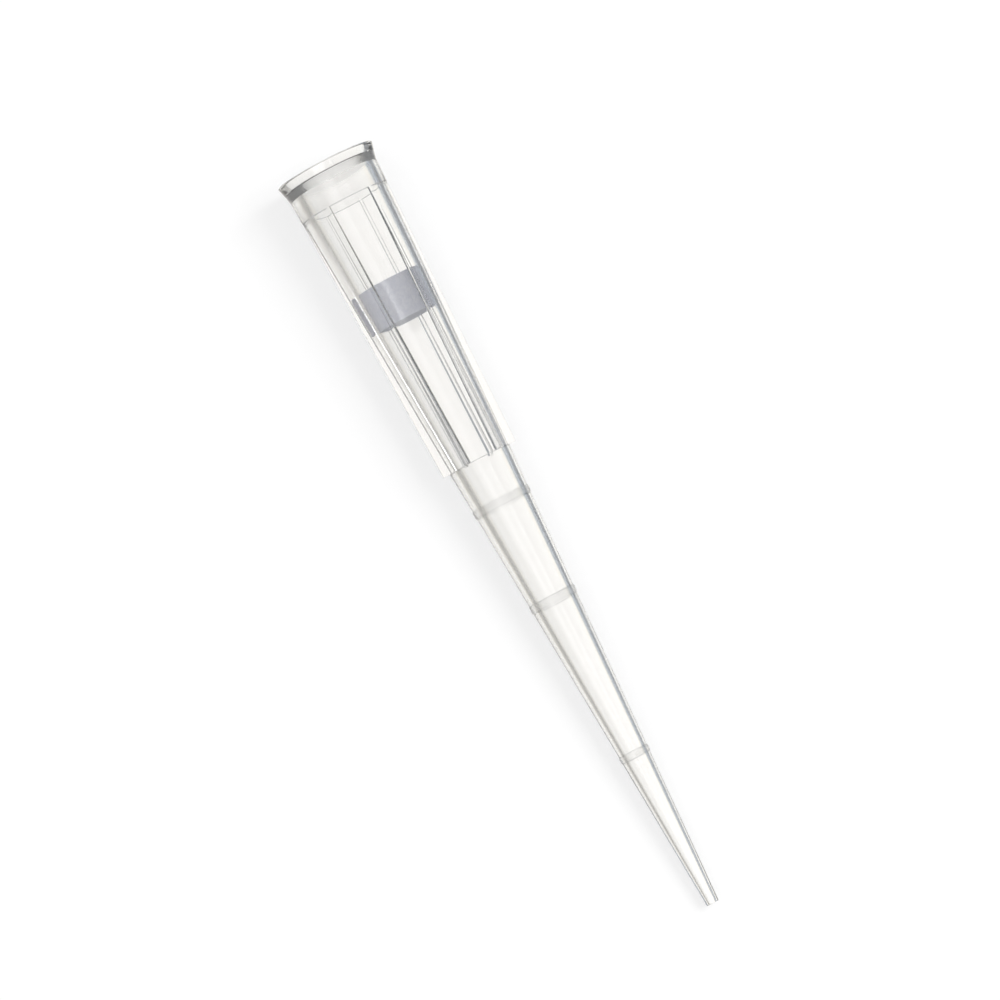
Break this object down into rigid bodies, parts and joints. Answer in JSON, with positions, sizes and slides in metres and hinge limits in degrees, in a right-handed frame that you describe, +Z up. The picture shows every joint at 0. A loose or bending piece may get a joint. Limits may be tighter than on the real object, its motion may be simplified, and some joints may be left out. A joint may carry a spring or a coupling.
{
  "type": "filter pipette tip",
  "caption": "Clear ribbed plastic pipette tip with a flared mouth, volume rings and a porous filter plug inside.",
  "frame": {"origin": "on the table under the middle of the tip's length and width, as it lies at rest", "axes": "+X along the table towards the fine end, +Z up; the tip's own axis lies in the XZ plane and rises by 2.83 degrees towards the mouth at -X"},
  "size_m": [0.0592, 0.0076, 0.0075],
  "materials": {
    "clear_polypropylene": "clear, polished, slightly milky",
    "sintered_polyethylene": "porous, matt, fine-grained"
  },
  "bodies": {
    "root": {"tip_body": "clear_polypropylene", "filter_plug": "sintered_polyethylene"}
  },
  "joints": []
}
